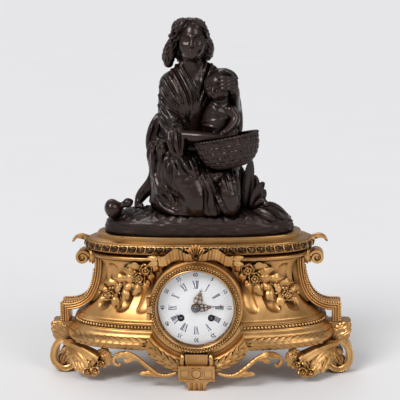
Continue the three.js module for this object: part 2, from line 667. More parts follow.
function sideConsole(side) {
  const strapTop = WAIST_HALF_WIDTH + SEAT + CONSOLE_BAND / 2 + 1;
  const drop = VOLUTE_Z - CONSOLE_SHELF_Z;
  const sweep = new THREE.CubicBezierCurve(
    new THREE.Vector2(side * strapTop, VOLUTE_Z),
    new THREE.Vector2(side * strapTop, VOLUTE_Z - 0.75 * drop),
    new THREE.Vector2(side * (strapTop + 0.4 * (CONSOLE_LEG_X - strapTop)), CONSOLE_SHELF_Z),
    new THREE.Vector2(side * (CONSOLE_LEG_X + CONSOLE_BAND / 2), CONSOLE_SHELF_Z));
  const legFoot = END_BLOCK_BOTTOM_Z + END_BLOCK_HEIGHT + SEAT;
  const strap = outlineY(bandOutline(sweep, 8, CONSOLE_BAND), -SIDE_HALF_DEPTH, SIDE_HALF_DEPTH);
  const legHalf = CONSOLE_BAND / 2;
  const legX = side * CONSOLE_LEG_X;
  const leg = box(
    legX - legHalf, legX + legHalf, -SIDE_HALF_DEPTH, SIDE_HALF_DEPTH, legFoot, CONSOLE_SHELF_Z);
  const volute = rodY(VOLUTE_RADIUS, -SIDE_HALF_DEPTH, SIDE_HALF_DEPTH, side * VOLUTE_X, VOLUTE_Z, 12);
  const roots = [side * (strapTop - legHalf), side * VOLUTE_X].toSorted((a, b) => a - b);
  const bridge = box(...roots, -SIDE_HALF_DEPTH, SIDE_HALF_DEPTH, VOLUTE_Z - VOLUTE_RADIUS, VOLUTE_Z);
  const leaf = limb([
    [side * (VOLUTE_X + 2), 0, VOLUTE_Z + 6, 7],
    [side * (VOLUTE_X + 3), 0, (VOLUTE_Z + VOLUTE_LEAF_Z) / 2 + 4, 5],
    [side * (VOLUTE_X + 9), 0, VOLUTE_LEAF_Z, 2.5],
  ], { flat: 1.6, sides: 6 });
  return cut(join(strap, leg, volute, bridge, leaf), waistBody(SEAT), corniceSpace);
}

// Garlands of flowers and fruit that lie on the waist
function waistFrontY(x, z) {
  const halfWidth = waistWidth(z);
  return -depthAt(halfWidth) * (1 - Math.min(1, Math.abs(x) / halfWidth) ** PLAN_POWER) ** (1 / PLAN_POWER);
}

function garland(side) {
  const curve = new THREE.CatmullRomCurve3(GARLAND_ROUTE.map(([x, z, radius]) =>
    vector(side * x, waistFrontY(x, z) - 0.7 * radius, z)));
  const widths = new THREE.SplineCurve(
    GARLAND_ROUTE.map(([, , radius], index) => new THREE.Vector2(index, radius)));
  const steps = 8;
  const points = Array.from({ length: steps + 1 }, (_, step) => {
    const bunch = step % 3 === 1 ? 1.2 : 0.95;
    const centre = curve.getPoint(step / steps);
    return [...centre.toArray(), widths.getPoint(step / steps).y * bunch];
  });
  return cut(limb(points, { sides: 6 }), waistBody(SEAT), drumSpace, corniceSpace);
}

// Ribbon over the dial: a fan with a boss, and two tails that dip towards the garlands
function ribbon() {
  const y = -depthAt(GADROON_SEAT_HALF_WIDTH + GADROON_SWELL) - RIBBON_STANDOFF;
  const half = RIBBON_THICKNESS / 2;
  const fan = Array.from({ length: 2 * RIBBON_FAN_LOBES + 1 }, (_, step) => {
    const turn = Math.PI * step / (2 * RIBBON_FAN_LOBES);
    const radius = RIBBON_FAN_RADIUS * (1 + 0.08 * Math.cos(2 * RIBBON_FAN_LOBES * turn));
    return [radius * Math.cos(turn), RIBBON_Z + radius * Math.sin(turn)];
  });
  const boss = rodY(RIBBON_FAN_RADIUS / 2.5, y - RIBBON_THICKNESS, y, 0, RIBBON_Z);
  const tails = sides.map(([, side]) => limb([
    [0, y, RIBBON_Z, 3.4],
    [side * RIBBON_HALF_WIDTH * 0.3, y, RIBBON_Z + 3, 4.4],
    [side * RIBBON_HALF_WIDTH * 0.62, y + 2, RIBBON_Z - 3, 3.6],
    [side * RIBBON_HALF_WIDTH * 0.8, y + 3, RIBBON_Z - 1, 4.4],
    [side * RIBBON_HALF_WIDTH, y + 4, RIBBON_Z - 6, 3],
  ], { flat: 0.6, sides: 5 }));
  const foot = DIAL_AXIS_Z + DRUM_RADIUS;
  const knot = box(-KNOT_HALF_WIDTH, KNOT_HALF_WIDTH, y - half, y + half, foot, RIBBON_Z);
  return cut(join(outlineY(fan, y - half, y + half), boss, knot, ...tails), drumSpace, corniceSpace);
}

// Leaf scrolls that run from the middle block along the apron and curl down under the plinth
function apronScroll(side) {
  return limb(APRON_SCROLL_ROUTE.map(([x, y, z, radius]) => [side * x, y, z, radius]), { sides: 7 });
}

// Drum with its hinge knuckles, the bezel and the glass
const hingeX = -(BEZEL_RADIUS + HINGE_RADIUS + RUNNING);
const hingeY = DRUM_FRONT_Y - SEAT - BEZEL_DEPTH / 2;
const doorY = DRUM_REAR_Y + SEAT + DRUM_WALL + SEAT;
const doorHingeX = -(DOOR_RADIUS + HINGE_RADIUS + RUNNING);
const doorHingeY = doorY + HINGE_RADIUS;
const knuckleLevels = [-1, 1].map(end => end * HINGE_KNUCKLE);

const pinBore = (x, y) => uprightRod(HINGE_PIN_RADIUS + SEAT, x, y, 0, 4 * HINGE_KNUCKLE);
const hingePin = (x, y) => uprightRod(HINGE_PIN_RADIUS, x, y, 0, 3 * HINGE_KNUCKLE);

function drum() {
  const inner = DRUM_RADIUS - DRUM_WALL;
  const shell = cut(
    rodY(DRUM_RADIUS, DRUM_FRONT_Y, DRUM_REAR_Y, 0, 0, DRUM_STEPS),
    rodY(inner, -FAR, FAR, 0, 0, DRUM_STEPS));
  const half = BOB_THICKNESS;
  const slot = box(-SWING_ROOM, SWING_ROOM, PENDULUM_Y - half, PENDULUM_Y + half, -FAR, 0);
  const knuckles = knuckleLevels.flatMap(level => [
    uprightRod(HINGE_RADIUS, hingeX, hingeY, level, HINGE_KNUCKLE - 2 * SEAT),
    box(hingeX - HINGE_RADIUS, hingeX + HINGE_RADIUS - SEAT, hingeY, DRUM_FRONT_Y + DRUM_WALL,
      level - HINGE_KNUCKLE / 2 + SEAT, level + HINGE_KNUCKLE / 2 - SEAT),
  ]);
  return cut(join(cut(shell, slot), ...knuckles), pinBore(hingeX, hingeY));
}

function bezel() {
  const back = DRUM_FRONT_Y - SEAT;
  const front = back - BEZEL_DEPTH;
  const rebate = BEZEL_SIGHT_RADIUS + BEZEL_REBATE;
  const ring = lathe([
    [rebate, back],
    [rebate, back - BEZEL_DEPTH / 2],
    [BEZEL_SIGHT_RADIUS, back - BEZEL_DEPTH / 2],
    [BEZEL_SIGHT_RADIUS + 1, front + 1.5],
    [BEZEL_SIGHT_RADIUS + 4, front],
    [BEZEL_RADIUS - 3, front],
    [BEZEL_RADIUS, front + BEZEL_DEPTH / 2],
    [BEZEL_RADIUS, back],
    [rebate, back],
  ], RING_STEPS);
  const half = HINGE_KNUCKLE / 2 - SEAT;
  const knuckle = uprightRod(HINGE_RADIUS, hingeX, hingeY, 0, 2 * half);
  const lug = box(
    hingeX, HINGE_LUG - BEZEL_RADIUS, hingeY - HINGE_RADIUS, hingeY + HINGE_RADIUS, -half, half);
  return cut(join(ring, knuckle, lug), pinBore(hingeX, hingeY));
}

function dialGlass() {
  const radius = BEZEL_SIGHT_RADIUS + BEZEL_REBATE - SEAT;
  const sight = BEZEL_SIGHT_RADIUS - SEAT;
  const seatY = hingeY + SEAT;
  const dome = edge => [0, 0.6, 1].map(part => [part * sight, edge - GLASS_RISE * (1 - part * part)]);
  const back = seatY + GLASS_THICKNESS;
  return lathe([...dome(seatY), [radius, seatY], [radius, back], ...dome(back).toReversed()], RING_STEPS);
}

function rearRing() {
  const from = DRUM_REAR_Y + SEAT;
  const sight = DOOR_RADIUS - DOOR_RIM;
  const hole = [0, 0, sight, RING_STEPS];
  const ring = outlineY(circle(DRUM_RADIUS, DRUM_STEPS), from, from + DRUM_WALL, [hole]);
  const knuckles = knuckleLevels.flatMap(level => [
    uprightRod(HINGE_RADIUS, doorHingeX, doorHingeY, level, HINGE_KNUCKLE - 2 * SEAT),
    box(doorHingeX - HINGE_RADIUS, doorHingeX + SEAT, from + DRUM_WALL / 2, doorHingeY,
      level - HINGE_KNUCKLE / 2 + SEAT, level + HINGE_KNUCKLE / 2 - SEAT),
  ]);
  return cut(join(ring, ...knuckles), pinBore(doorHingeX, doorHingeY));
}

function rearDoor() {
  const rear = doorY + DOOR_THICKNESS;
  const disc = lathe([
    [0, doorY],
    [DOOR_RADIUS, doorY],
    [DOOR_RADIUS, rear + DOOR_RIM / 2],
    [DOOR_RADIUS - DOOR_RIM, rear + DOOR_RIM / 2],
    [DOOR_RADIUS - DOOR_RIM, rear],
    [0, rear],
  ], RING_STEPS);
  const knob = rodY(KNOB_RADIUS, doorY, rear + 2 * DOOR_RIM, DOOR_RADIUS - 4 * DOOR_RIM, 0, 10);
  const half = HINGE_KNUCKLE / 2 - SEAT;
  const knuckle = uprightRod(HINGE_RADIUS, doorHingeX, doorHingeY, 0, 2 * half);
  const lug = box(doorHingeX, HINGE_LUG - DOOR_RADIUS, doorY, doorHingeY + HINGE_RADIUS, -half, half);
  return cut(join(disc, knob, knuckle, lug), pinBore(doorHingeX, doorHingeY));
}

// Dial and its plate
const windings = sides.map(([, side]) => [side * WINDING_X, -WINDING_DROP]);

function dial() {
  const middle = [0, 0, HOUR_PIPE_RADIUS + BORE_GAP, 12];
  const holes = windings.map(hole => [...hole, WINDING_HOLE_RADIUS, 12]);
  return outlineY(circle(DIAL_RADIUS, RING_STEPS), DIAL_FRONT_Y, DIAL_BACK_Y, [middle, ...holes]);
}

function dialPlate() {
  const front = DIAL_BACK_Y + SEAT;
  const ring = outlineY(circle(DRUM_RADIUS - DRUM_WALL - RUNNING, RING_STEPS), front, DIAL_PLATE_BACK_Y,
    [[0, 0, DIAL_PLATE_SIGHT, RING_STEPS]]);
  const radius = (DIAL_PLATE_SIGHT + PLATE_RADIUS) / 2;
  const feet = [90, 210, 330].map(angle => rodY(1.6, front, FRONT_PLATE_Y - SEAT,
    radius * Math.cos(degrees(angle)), radius * Math.sin(degrees(angle))));
  return join(ring, ...feet);
}

// Toothed outlines with pointed teeth and open V-shaped gaps
function gearOutline(teeth, module, phase) {
  const radius = teeth * module / 2;
  return Array.from({ length: teeth }, (_, tooth) => [[0, 0.75], [0.5, -1.3]].map(([part, reach]) => {
    const turn = phase + 2 * Math.PI * (tooth + part) / teeth;
    return [(radius + reach * module) * Math.cos(turn), (radius + reach * module) * Math.sin(turn)];
  })).flat();
}

const reachOf = (module, teeth, leaves) => module * (teeth + leaves) / 2;
const bearing = ([fromX, fromZ], [toX, toZ]) => Math.atan2(toZ - fromZ, toX - fromX);
const polar = ([x, z], angle, distance) => [x + distance * Math.cos(angle), z + distance * Math.sin(angle)];

// Place at given distances from two others, to the left of the line between them
function corner(from, fromDistance, to, toDistance) {
  const span = Math.hypot(to[0] - from[0], to[1] - from[1]);
  const along = (fromDistance ** 2 - toDistance ** 2 + span ** 2) / (2 * span);
  return polar(from, bearing(from, to) + Math.acos(along / fromDistance), fromDistance);
}

// Plan of the movement, seen from the dial
const centre = [0, 0];
const goingBarrelAt = windings[1];
const strikeBarrelAt = windings[0];
const barrelReach = reachOf(BARREL_MODULE, WHEEL_TEETH, PINION_LEAVES);
const intermediateReach = reachOf(INTERMEDIATE_MODULE, WHEEL_TEETH, PINION_LEAVES);
const intermediateAt = corner(centre, intermediateReach, goingBarrelAt, barrelReach);
const thirdAt = polar(centre, degrees(120), reachOf(CENTRE_MODULE, WHEEL_TEETH, PINION_LEAVES));
const escapeReach = reachOf(THIRD_MODULE, WHEEL_TEETH, PINION_LEAVES);
const escapeAt = [0, thirdAt[1] + Math.sqrt(escapeReach ** 2 - thirdAt[0] ** 2)];
const anchorAt = [0, escapeAt[1] + ANCHOR_ABOVE_ESCAPE];
const pinWheelAt = polar(strikeBarrelAt, degrees(105), barrelReach);
const flyAt = polar(pinWheelAt, degrees(75), reachOf(STRIKE_MODULE, WHEEL_TEETH, PINION_LEAVES));
const minuteReach = reachOf(MINUTE_MODULE, MOTION_TEETH, CANNON_LEAVES);
const minuteAt = polar(centre, degrees(60), minuteReach);
const hourModule = 2 * minuteReach / (MOTION_TEETH + HOUR_LEAVES);

// Levels of the train behind the front plate
const barrelGearY = TRAIN_FRONT_Y + 2 + BARREL_LENGTH;
const intermediateWheelY = barrelGearY + 5;
const centreWheelY = intermediateWheelY + 4.5;
const thirdWheelY = TRAIN_FRONT_Y + 12;
const escapeWheelY = TRAIN_FRONT_Y + 18;
const cannonY = FRONT_PLATE_Y - RUNNING - WHEEL_THICKNESS;
const hourWheelY = cannonY - 2.2;

// A wheel's gap and a pinion's leaf face each other along the line between their arbors
const facingGap = (from, to, teeth) => bearing(from, to) + Math.PI / teeth;
const wheelSolid = (teeth, module, phase, y) =>
  outlineY(gearOutline(teeth, module, phase), y, y + WHEEL_THICKNESS);
const pinionSolid = (leaves, module, phase, y) =>
  outlineY(gearOutline(leaves, module, phase), y - PINION_OVERHANG, y + WHEEL_THICKNESS + PINION_OVERHANG);

function arbor(...fitted) {
  const body = rodY(ARBOR_RADIUS, TRAIN_FRONT_Y + RUNNING, TRAIN_REAR_Y - RUNNING, 0, 0, 6);
  const pivots = rodY(PIVOT_RADIUS, FRONT_PLATE_Y + RUNNING, BACK_PLATE_REAR_Y - RUNNING, 0, 0, 6);
  return join(body, pivots, ...fitted);
}

function barrel(phase) {
  const drumBody = rodY(BARREL_RADIUS, barrelGearY - BARREL_LENGTH, barrelGearY + WHEEL_THICKNESS, 0, 0, 14);
  const gear = wheelSolid(WHEEL_TEETH, BARREL_MODULE, phase, barrelGearY);
  return cut(join(drumBody, gear), rodY(WINDING_ARBOR_RADIUS + BORE_GAP, -FAR, FAR));
}

function windingArbor() {
  const half = WINDING_ARBOR_RADIUS / Math.SQRT2;
  const tip = hourHandY + HAND_THICKNESS + RUNNING;
  const square = box(-half, half, tip, TRAIN_FRONT_Y, -half, half);
  const body = rodY(WINDING_ARBOR_RADIUS, DIAL_BACK_Y, TRAIN_REAR_Y - RUNNING);
  return join(square, body, rodY(PIVOT_RADIUS, TRAIN_FRONT_Y, BACK_PLATE_REAR_Y - RUNNING, 0, 0, 6));
}

function movementPlate(fromY, arbors, extra = []) {
  const small = arbors.map(at => [...at, PIVOT_RADIUS + BORE_GAP, 6]);
  return outlineY(circle(PLATE_RADIUS, RING_STEPS), fromY, fromY + PLATE_THICKNESS, [...small, ...extra]);
}

const trainArbors = [intermediateAt, thirdAt, escapeAt, pinWheelAt, flyAt];

function frontPlate() {
  const wide = windings.map(at => [...at, WINDING_ARBOR_RADIUS + BORE_GAP, 8]);
  const middle = [...centre, ARBOR_BORE, 8];
  return movementPlate(FRONT_PLATE_Y, [...trainArbors, anchorAt, minuteAt], [...wide, middle]);
}

function backPlate() {
  const wide = [[...anchorAt, ARBOR_BORE, 8]];
  return movementPlate(TRAIN_REAR_Y, [centre, ...trainArbors, ...windings, HAMMER_PLACE], wide);
}

function pillar() {
  const waistRadius = PILLAR_RADIUS * 0.7;
  return lathe([
    [0, TRAIN_FRONT_Y],
    [PILLAR_RADIUS, TRAIN_FRONT_Y],
    [waistRadius, TRAIN_FRONT_Y + 5],
    [PILLAR_RADIUS, (TRAIN_FRONT_Y + TRAIN_REAR_Y) / 2],
    [waistRadius, TRAIN_REAR_Y - 5],
    [PILLAR_RADIUS, TRAIN_REAR_Y],
    [0, TRAIN_REAR_Y],
  ], 6);
}

// Escapement: slanted teeth, an anchor whose pallets stop short of them, its crutch and the pendulum
function escapeWheel() {
  const tooth = [[0, 1], [0.28, 0.76]];
  const teeth = Array.from({ length: ESCAPE_TEETH }, (_, count) => tooth.map(([part, share]) => {
    const turn = 2 * Math.PI * (count + part) / ESCAPE_TEETH;
    return [ESCAPE_RADIUS * share * Math.cos(turn), ESCAPE_RADIUS * share * Math.sin(turn)];
  })).flat();
  const pinion = pinionSolid(PINION_LEAVES, THIRD_MODULE, bearing(escapeAt, thirdAt), thirdWheelY);
  return arbor(outlineY(teeth, escapeWheelY, escapeWheelY + WHEEL_THICKNESS), pinion);
}

function anchor() {
  const clear = ESCAPE_RADIUS + SEAT + BORE_GAP;
  const turns = Array.from({ length: 6 }, (_, step) => degrees(30 + 24 * step));
  const bowEdge = radius => turns.map(turn => polar([0, -ANCHOR_ABOVE_ESCAPE], turn, radius));
  const front = escapeWheelY - RUNNING;
  const rear = escapeWheelY + WHEEL_THICKNESS + RUNNING;
  const bow = outlineY([...bowEdge(clear), ...bowEdge(clear + PALLET_WIDTH).toReversed()], front, rear);
  const half = PALLET_WIDTH / 2;
  const hub = box(-half, half, front, rear, clear + half - ANCHOR_ABOVE_ESCAPE, half);
  const tail = rodY(ARBOR_RADIUS, TRAIN_REAR_Y - PLATE_THICKNESS, BACK_PLATE_REAR_Y + PLATE_THICKNESS);
  const near = BACK_PLATE_REAR_Y + RUNNING;
  const far = near + CRUTCH_THICKNESS;
  const gap = ROD_RADIUS + RUNNING;
  const low = PALLET_WIDTH - CRUTCH_LENGTH;
  const crutch = box(-half, half, near, far, -CRUTCH_LENGTH, 0);
  const fork = box(-gap - half, gap + half, near, PENDULUM_Y + 2 * ROD_RADIUS, -CRUTCH_LENGTH, low);
  const forkGap = box(-gap, gap, far, FAR, -FAR, FAR);
  return join(arbor(bow, hub), tail, crutch, cut(fork, forkGap));
}

function pendulum() {
  const rod = uprightRod(
    ROD_RADIUS, 0, PENDULUM_Y, (PIVOT_RADIUS - PENDULUM_LENGTH) / 2, PENDULUM_LENGTH + PIVOT_RADIUS);
  const half = BOB_THICKNESS / 2;
  const bob = lathe([
    [0, -half],
    [BOB_RADIUS * 0.7, -half * 0.7],
    [BOB_RADIUS, 0],
    [BOB_RADIUS * 0.7, half * 0.7],
    [0, half],
  ], 16);
  return join(rod, bob.translate([0, PENDULUM_Y, -PENDULUM_LENGTH]));
}

function suspensionCock() {
  const [, z] = anchorAt;
  const half = COCK_HALF_WIDTH;
  const rear = PENDULUM_Y + half - RUNNING;
  const slotTop = z + PIVOT_RADIUS + 2 * RUNNING;
  const block = box(-half, half, BACK_PLATE_REAR_Y + SEAT, rear, slotTop, z + half);
  const cheeks = box(-half, half, PENDULUM_Y - half / 2, rear, z - half / 2, slotTop);
  const gap = ROD_RADIUS + RUNNING;
  return cut(join(block, cheeks), box(-gap, gap, PENDULUM_Y - gap, FAR, -FAR, slotTop));
}

// Motion work and hands
const hourHandY = DIAL_FRONT_Y - HAND_SPACING;
const minuteHandY = hourHandY - HAND_SPACING;

function cannonPinion() {
  const pipe = rodY(CANNON_RADIUS, minuteHandY, cannonY + WHEEL_THICKNESS);
  const leaves = wheelSolid(CANNON_LEAVES, MINUTE_MODULE, bearing(centre, minuteAt), cannonY);
  return cut(join(pipe, leaves), rodY(CENTRE_TIP_RADIUS + RUNNING, -FAR, FAR));
}

function minuteWheel() {
  const wheel = wheelSolid(MOTION_TEETH, MINUTE_MODULE, facingGap(minuteAt, centre, MOTION_TEETH), cannonY);
  const leaves = gearOutline(HOUR_LEAVES, hourModule, bearing(minuteAt, centre));
  const pinion = outlineY(leaves, hourWheelY - PINION_OVERHANG / 2, cannonY + WHEEL_THICKNESS);
  return join(wheel, pinion, rodY(PIVOT_RADIUS, cannonY, TRAIN_FRONT_Y - RUNNING, 0, 0, 6));
}

function hourWheel() {
  const wheel = wheelSolid(MOTION_TEETH, hourModule, facingGap(centre, minuteAt, MOTION_TEETH), hourWheelY);
  const pipe = rodY(HOUR_PIPE_RADIUS, hourHandY - HAND_THICKNESS / 2, hourWheelY + WHEEL_THICKNESS);
  return cut(join(wheel, pipe), rodY(CANNON_RADIUS + BORE_GAP, -FAR, FAR));
}

function centreWheel() {
  const wheel = wheelSolid(WHEEL_TEETH, CENTRE_MODULE, facingGap(centre, thirdAt, WHEEL_TEETH), centreWheelY);
  const leafAngle = bearing(centre, intermediateAt);
  const pinion = pinionSolid(PINION_LEAVES, INTERMEDIATE_MODULE, leafAngle, intermediateWheelY);
  const tip = rodY(CENTRE_TIP_RADIUS, minuteHandY - NUT_HEIGHT / 2 - SEAT, TRAIN_FRONT_Y + PLATE_THICKNESS);
  return join(arbor(wheel, pinion), tip);
}

// Hand: boss, pierced oval and pointed tip, turned to its place on the dial
function hand(length, boreRadius, y, angle) {
  const half = length * 0.12;
  const middle = length * 0.52;
  const arc = (from, to, radius) => Array.from({ length: 5 }, (_, step) => {
    const turn = degrees(from + (to - from) * step / 4);
    return [radius * Math.cos(turn), middle + 1.4 * radius * Math.sin(turn)];
  });
  const flat = [
    [-HAND_THICKNESS, 0], [HAND_THICKNESS, 0],
    ...arc(-70, 70, half),
    [0, length],
    ...arc(110, 250, half),
  ];
  const blade = outlineY(flat, y, y + HAND_THICKNESS, [[0, middle, half * 0.55, 8]]);
  const boss = outlineY(circle(boreRadius + HAND_BOSS, 14), y, y + HAND_THICKNESS);
  const whole = cut(join(blade, boss), rodY(boreRadius, -FAR, FAR));
  return whole.rotate([0, angle, 0]);
}

const hourHand = () => hand(HOUR_HAND_LENGTH, HOUR_PIPE_RADIUS + SEAT, hourHandY, HOUR_HAND_ANGLE);
const minuteHand = () => hand(MINUTE_HAND_LENGTH, CANNON_RADIUS + SEAT, minuteHandY, MINUTE_HAND_ANGLE);

function handNut() {
  const y = minuteHandY - SEAT;
  return cut(
    lathe([[0, y - NUT_HEIGHT], [NUT_RADIUS, y - NUT_HEIGHT / 3], [NUT_RADIUS, y], [0, y]], 10),
    rodY(CENTRE_TIP_RADIUS + SEAT, y - NUT_HEIGHT / 2 - SEAT, FAR));
}

// Strike: bell on its stand, hammer, and the train that runs it
const bellY = BACK_PLATE_REAR_Y + BELL_BEHIND_PLATE;

function bell() {
  const steps = 4;
  const dome = inset => Array.from({ length: steps + 1 }, (_, step) => {
    const turn = Math.PI / 2 * step / steps;
    return [(BELL_RADIUS - inset) * Math.cos(turn), bellY + (BELL_DEPTH - inset) * Math.sin(turn)];
  });
  const outside = dome(0).with(-1, [0, bellY + BELL_DEPTH]);
  const inside = dome(BELL_WALL).with(-1, [0, bellY + BELL_DEPTH - BELL_WALL]);
  return lathe([...outside.toReversed(), ...inside], 18);
}

function bellStand() {
  const radius = BELL_STAND_RADIUS;
  const armY = bellY + BELL_DEPTH + SEAT + radius;
  const [x, z] = BELL_STAND_PLACE;
  const post = rodY(radius, BACK_PLATE_REAR_Y + SEAT, armY + radius, x, z);
  const arm = limb([[x, armY, z, radius], [0, armY, -BELL_DROP, radius]]);
  return join(post, arm);
}

function hammer() {
  const front = BACK_PLATE_REAR_Y + RUNNING;
  const [x, z] = HAMMER_PLACE;
  const rest = BELL_RADIUS + HAMMER_REST + HAMMER_HEAD_RADIUS;
  const head = polar([0, -BELL_DROP], degrees(HAMMER_BEARING), rest);
  const reach = [head[0] - x, head[1] - z];
  const armY = front + ARBOR_RADIUS + SEAT;
  const hub = rodY(2 * ARBOR_RADIUS, front, armY + ARBOR_RADIUS);
  const pivot = rodY(PIVOT_RADIUS, TRAIN_REAR_Y + RUNNING, armY, 0, 0, 6);
  const arm = limb([[0, armY, 0, ARBOR_RADIUS], [reach[0], armY, reach[1], ARBOR_RADIUS]]);
  const weight = rodY(HAMMER_HEAD_RADIUS, front, bellY + HAMMER_HEAD_RADIUS, ...reach, 10);
  return join(hub, pivot, arm, weight);
}

function pinWheel() {
  const toFly = facingGap(pinWheelAt, flyAt, WHEEL_TEETH);
  const wheel = wheelSolid(WHEEL_TEETH, STRIKE_MODULE, toFly, intermediateWheelY);
  const pinion = pinionSolid(PINION_LEAVES, BARREL_MODULE, bearing(pinWheelAt, strikeBarrelAt), barrelGearY);
  return arbor(wheel, pinion);
}

function fly() {
  const pinion = pinionSolid(PINION_LEAVES, STRIKE_MODULE, bearing(flyAt, pinWheelAt), intermediateWheelY);
  const vane = box(-5, 5, TRAIN_FRONT_Y + 6, TRAIN_FRONT_Y + 20, -0.5, 0.5);
  return arbor(pinion, vane);
}

function intermediateWheel() {
  const toCentre = facingGap(intermediateAt, centre, WHEEL_TEETH);
  const wheel = wheelSolid(WHEEL_TEETH, INTERMEDIATE_MODULE, toCentre, intermediateWheelY);
  const toBarrel = bearing(intermediateAt, goingBarrelAt);
  const pinion = pinionSolid(PINION_LEAVES, BARREL_MODULE, toBarrel, barrelGearY);
  return arbor(wheel, pinion);
}

function thirdWheel() {
  const wheel = wheelSolid(WHEEL_TEETH, THIRD_MODULE, facingGap(thirdAt, escapeAt, WHEEL_TEETH), thirdWheelY);
  const pinion = pinionSolid(PINION_LEAVES, CENTRE_MODULE, bearing(thirdAt, centre), centreWheelY);
  return arbor(wheel, pinion);
}

// Bronze group: a kneeling mother in a loose robe, a child at her side and a basket in her lap
const groundZ = CORNICE_TOP_Z + TERRACE_HEIGHT;
const figureSize = (...values) => values.map(value => value * FIGURE_UNIT);
const figurePoint = (x, y, rise) => [x * FIGURE_UNIT, y * FIGURE_UNIT, groundZ + rise * FIGURE_UNIT];
const spot = (x, y, rise, ...sizes) => [...figurePoint(x, y, rise), ...figureSize(...sizes)];

// Robe of the mother: middle of each level as [x, y, rise], then its reach every 15 degrees
const ROBE = [
  [[-9, -1, -3],
    [57, 55, 56, 50, 41, 35, 30, 26, 28, 40, 47, 49, 49, 45, 44, 44, 44, 42, 43, 46, 53, 53, 66, 61]],
  [[-9, -1, 6.5],
    [59, 58, 58, 53, 46, 40, 34, 30, 29, 42, 48, 51, 52, 47, 46, 47, 44, 42, 47, 51, 53, 66, 71, 64]],
  [[-9, -1, 19.5],
    [56, 59, 58, 54, 48, 42, 36, 33, 34, 44, 50, 51, 50, 48, 46, 44, 41, 41, 49, 54, 55, 66, 71, 60]],
  [[-10, -1, 33.5],
    [51, 54, 54, 50, 43, 39, 37, 38, 39, 44, 51, 52, 48, 47, 49, 45, 43, 46, 49, 50, 52, 65, 71, 61]],
  [[-11, 0, 48.5],
    [54, 49, 46, 42, 39, 39, 39, 40, 41, 44, 50, 53, 48, 45, 44, 46, 44, 45, 48, 50, 49, 57, 66, 62]],
  [[-12, 1, 63.5],
    [52, 51, 43, 40, 37, 36, 35, 37, 38, 41, 51, 54, 51, 49, 44, 45, 42, 45, 49, 37, 32, 37, 53, 54]],
  [[-13, 2, 78.5],
    [46, 38, 36, 35, 32, 31, 30, 32, 31, 35, 47, 53, 52, 45, 41, 43, 35, 35, 34, 24, 24, 27, 30, 37]],
  [[-13, 3, 92.5],
    [30, 34, 31, 27, 25, 25, 24, 25, 27, 29, 45, 51, 50, 31, 29, 30, 25, 22, 23, 22, 24, 26, 28, 29]],
  [[-12, 2, 108.5],
    [37, 31, 29, 26, 24, 23, 22, 23, 24, 25, 40, 46, 36, 32, 29, 27, 26, 25, 23, 24, 25, 26, 29, 30]],
  [[-9, 0, 132],
    [30, 29, 27, 26, 24, 23, 22, 23, 23, 26, 33, 34, 31, 31, 29, 28, 27, 26, 26, 26, 27, 28, 29, 30]],
  [[-8, 1, 151.5],
    [30, 27, 24, 21, 19, 18, 18, 18, 21, 24, 29, 34, 36, 35, 33, 28, 26, 24, 25, 24, 25, 25, 26, 28]],
  [[-7, 2, 162.5],
    [35, 32, 25, 19, 17, 16, 16, 16, 18, 21, 25, 31, 34, 34, 28, 24, 22, 21, 18, 18, 19, 23, 28, 33]],
  [[-6, 1, 173.5],
    [30, 27, 22, 17, 15, 14, 13, 15, 15, 17, 20, 22, 22, 20, 19, 19, 16, 16, 16, 16, 16, 17, 20, 27]],
  [[-5, -3, 186.5],
    [11, 12, 12, 11, 11, 12, 12, 12, 12, 12, 12, 12, 12, 12, 12, 13, 13, 14, 13, 14, 13, 13, 12, 12]],
];

function robe(grow) {
  const last = ROBE.length - 1;
  return loft(ROBE.map(([middle, reaches], level) => {
    const end = (level === 0 ? -grow : 0) + (level === last ? grow : 0);
    const [x, y, z] = figurePoint(...middle);
    return reaches.map((reach, step) => {
      const turn = 2 * Math.PI * step / reaches.length;
      const radius = reach * FIGURE_UNIT + grow;
      return vector(x + radius * Math.cos(turn), y + radius * Math.sin(turn), z + end);
    });
  }));
}

